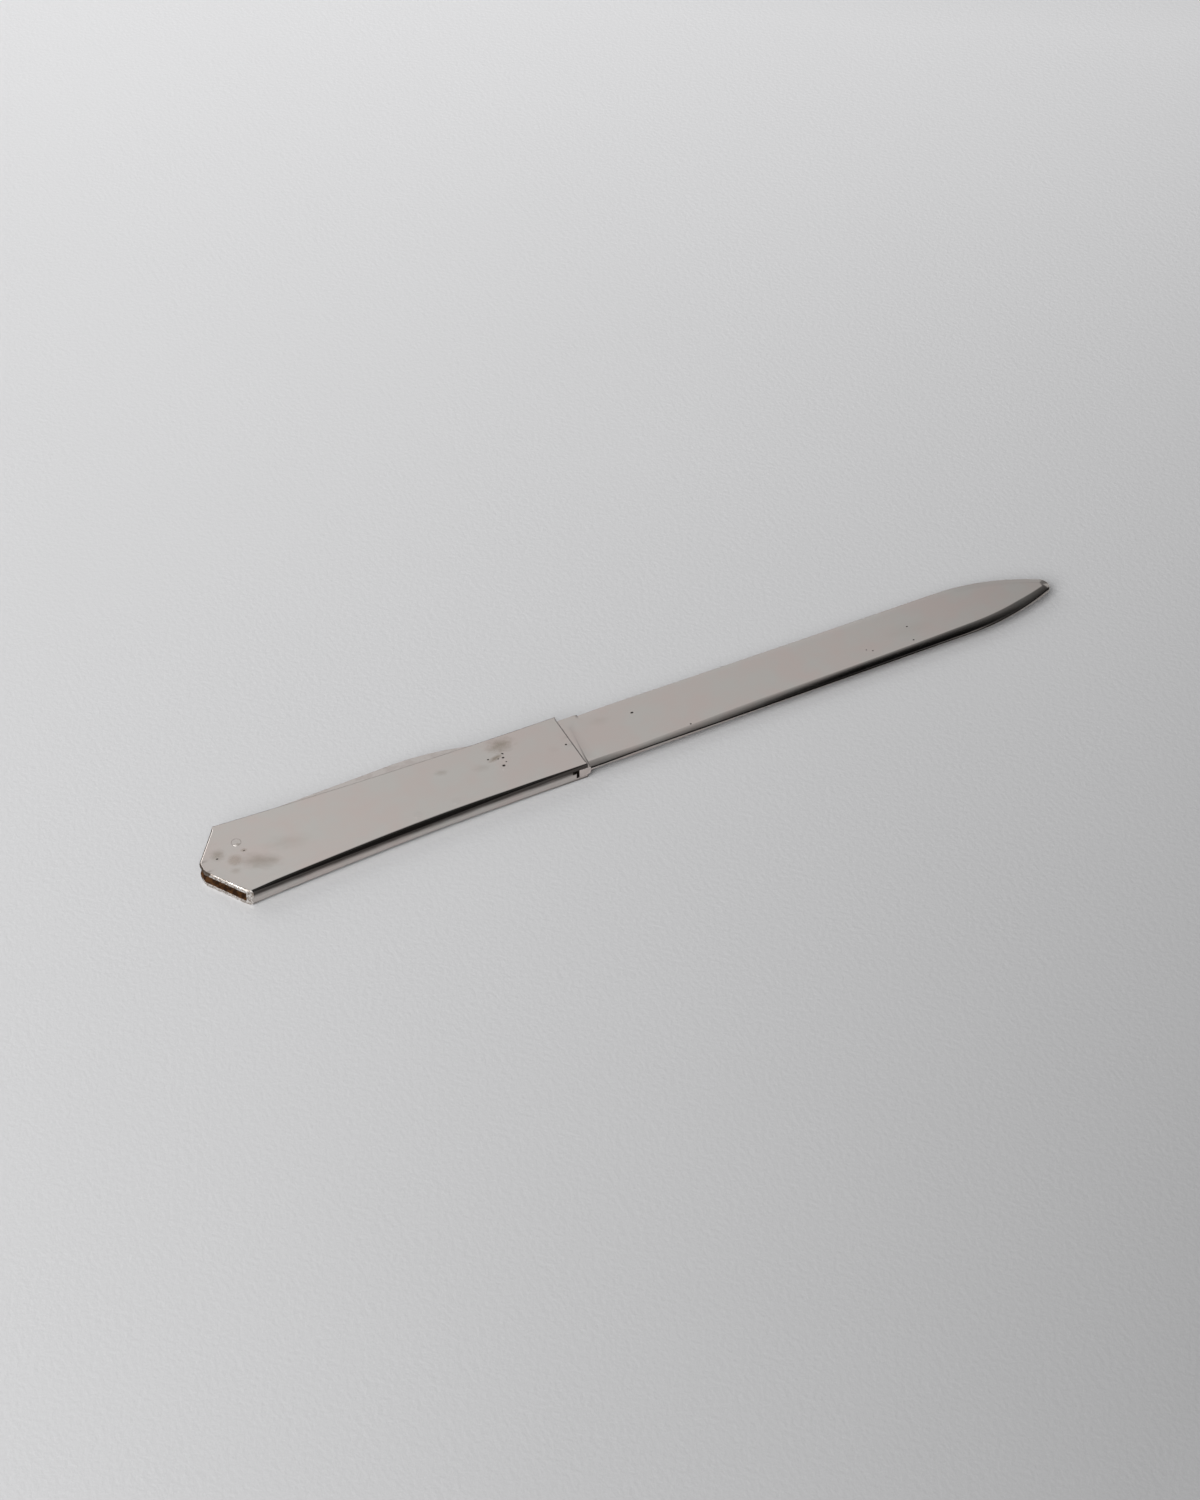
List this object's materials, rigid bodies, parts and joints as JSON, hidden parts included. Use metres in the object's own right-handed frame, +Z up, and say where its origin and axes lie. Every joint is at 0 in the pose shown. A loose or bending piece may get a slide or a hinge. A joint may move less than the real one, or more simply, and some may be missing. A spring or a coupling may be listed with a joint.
{
  "type": "letter opener",
  "caption": "Flat polished metal letter opener with a folded sheet-metal handle, and a pen blade that folds into the handle and swings out past the pommel.",
  "frame": {"origin": "on the underside of the handle, half way along it and on its centre line", "axes": "+X along the letter opener towards the tip of the letter blade, +Y towards the open side that the pen blade folds into, +Z up"},
  "size_m": [0.211, 0.0228, 0.0042],
  "materials": {
    "plated_handle": "polished plating with stains and fine scratches",
    "plated_blade": "polished plating with pits and fine scratches",
    "pen_steel": "ground steel, lightly tarnished",
    "spring_steel": "dull steel with brown rust",
    "pin_metal": "filed flush and polished with the handle"
  },
  "bodies": {
    "handle": {"handle_shell": "plated_handle", "letter_blade": "plated_blade", "back_spring": "spring_steel", "pen_pivot_pin": "pin_metal", "spring_rivet_rear": "pin_metal", "spring_rivet_front": "pin_metal", "tang_rivet_rear": "pin_metal", "tang_rivet_front": "pin_metal"},
    "folding_blade": {"pen_blade": "pen_steel"}
  },
  "joints": [
    {"name": "pen_blade_swing", "type": "hinge", "parent": "handle", "child": "folding_blade", "pos_m": [-0.0341, 0.0041, 0.0021], "axis": [0, 0, 1], "range_deg": [0, 180]}
  ]
}
